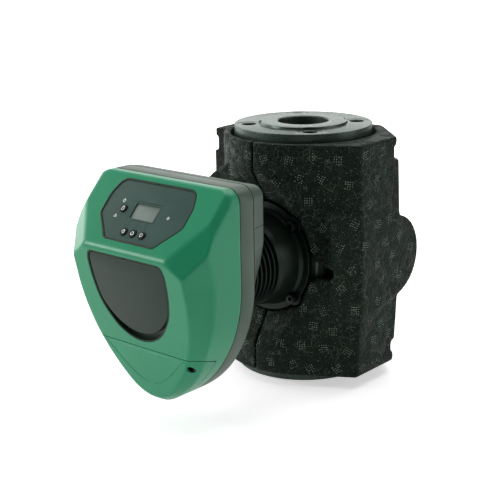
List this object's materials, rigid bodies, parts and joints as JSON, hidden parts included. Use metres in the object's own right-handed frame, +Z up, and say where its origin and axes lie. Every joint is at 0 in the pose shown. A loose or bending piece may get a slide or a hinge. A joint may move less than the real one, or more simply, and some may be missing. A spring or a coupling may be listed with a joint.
{
  "type": "circulator pump",
  "caption": "flanged in-line wet-rotor circulator pump with split foam insulation shells and a shield-shaped electronic control head",
  "frame": {"origin": "centre of the lower flange's sealing face, on the pipe axis", "axes": "+Z up the pipe axis, -Y out of the front of the control head, +X to the right seen from the front"},
  "size_m": [0.2475, 0.4364, 0.34],
  "materials": {
    "iron": "satin",
    "steel": "satin",
    "insulation_foam": "matte",
    "motor_paint": "satin",
    "magnet": "satin",
    "ceramic": "satin",
    "rubber": "matte",
    "laminated_steel": "satin",
    "copper": "satin",
    "grey_housing": "satin",
    "green_cover": "satin",
    "dark_plate": "satin",
    "panel_film": "satin",
    "display_window": "gloss",
    "black_plastic": "satin",
    "light_plastic": "satin",
    "circuit_board": "satin",
    "aluminium": "satin"
  },
  "bodies": {
    "pump": {"pump_casing": "iron", "wear_ring": "steel", "bearing_plate": "steel", "separating_can": "steel", "motor_screw_1": "steel", "motor_screw_2": "steel", "motor_screw_3": "steel", "motor_screw_4": "steel", "terminal_screw_left": "steel", "terminal_screw_right": "steel", "motor_housing": "motor_paint", "front_bearing": "ceramic", "rear_bearing": "ceramic", "casing_gasket": "rubber", "cover_gasket": "rubber", "stator_core": "laminated_steel", "front_winding": "copper", "rear_winding": "copper", "choke": "copper", "control_housing": "grey_housing", "rear_top_cover": "grey_housing", "front_cover": "green_cover", "terminal_cover": "green_cover", "name_plate": "dark_plate", "name_plate_surround": "dark_plate", "panel_bezel": "dark_plate", "control_panel": "panel_film", "lcd_window": "display_window", "power_module": "black_plastic", "capacitor_1": "black_plastic", "capacitor_2": "black_plastic", "capacitor_3": "black_plastic", "gland_body_left": "black_plastic", "gland_body_right": "black_plastic", "gland_nut_left": "black_plastic", "gland_nut_right": "black_plastic", "terminal_block": "light_plastic", "switch_1": "light_plastic", "switch_2": "light_plastic", "switch_3": "light_plastic", "switch_4": "light_plastic", "power_board": "circuit_board", "display_board": "circuit_board", "heat_spreader": "aluminium", "lcd_module": "aluminium"},
    "rotor": {"rotor_shaft": "steel", "rotor_core": "magnet", "impeller": "steel", "impeller_nut": "steel", "thrust_ring": "rubber"},
    "button_mode": {"button_mode": "black_plastic"},
    "button_left": {"button_left": "black_plastic"},
    "button_middle": {"button_middle": "black_plastic"},
    "button_right": {"button_right": "black_plastic"},
    "insulation_shell_left": {"insulation_shell_left": "insulation_foam"},
    "insulation_shell_right": {"insulation_shell_right": "insulation_foam"}
  },
  "joints": [
    {"name": "rotor_spin", "type": "hinge", "parent": "pump", "child": "rotor", "pos_m": [0, -0.12, 0.17], "axis": [0, -1, 0], "continuous": true},
    {"name": "mode_press", "type": "slide", "parent": "pump", "child": "button_mode", "axis": [0, 0.7193, -0.6947], "range_m": [0, 0.001], "stiffness_N_per_m": 900},
    {"name": "left_press", "type": "slide", "parent": "pump", "child": "button_left", "axis": [0, 0.7193, -0.6947], "range_m": [0, 0.001], "stiffness_N_per_m": 900},
    {"name": "middle_press", "type": "slide", "parent": "pump", "child": "button_middle", "axis": [0, 0.7193, -0.6947], "range_m": [0, 0.001], "stiffness_N_per_m": 900},
    {"name": "right_press", "type": "slide", "parent": "pump", "child": "button_right", "axis": [0, 0.7193, -0.6947], "range_m": [0, 0.001], "stiffness_N_per_m": 900},
    {"name": "left_shell_removal", "type": "slide", "parent": "pump", "child": "insulation_shell_left", "axis": [-1, 0, 0], "range_m": [0, 0.15]},
    {"name": "right_shell_removal", "type": "slide", "parent": "pump", "child": "insulation_shell_right", "axis": [1, 0, 0], "range_m": [0, 0.15]}
  ]
}
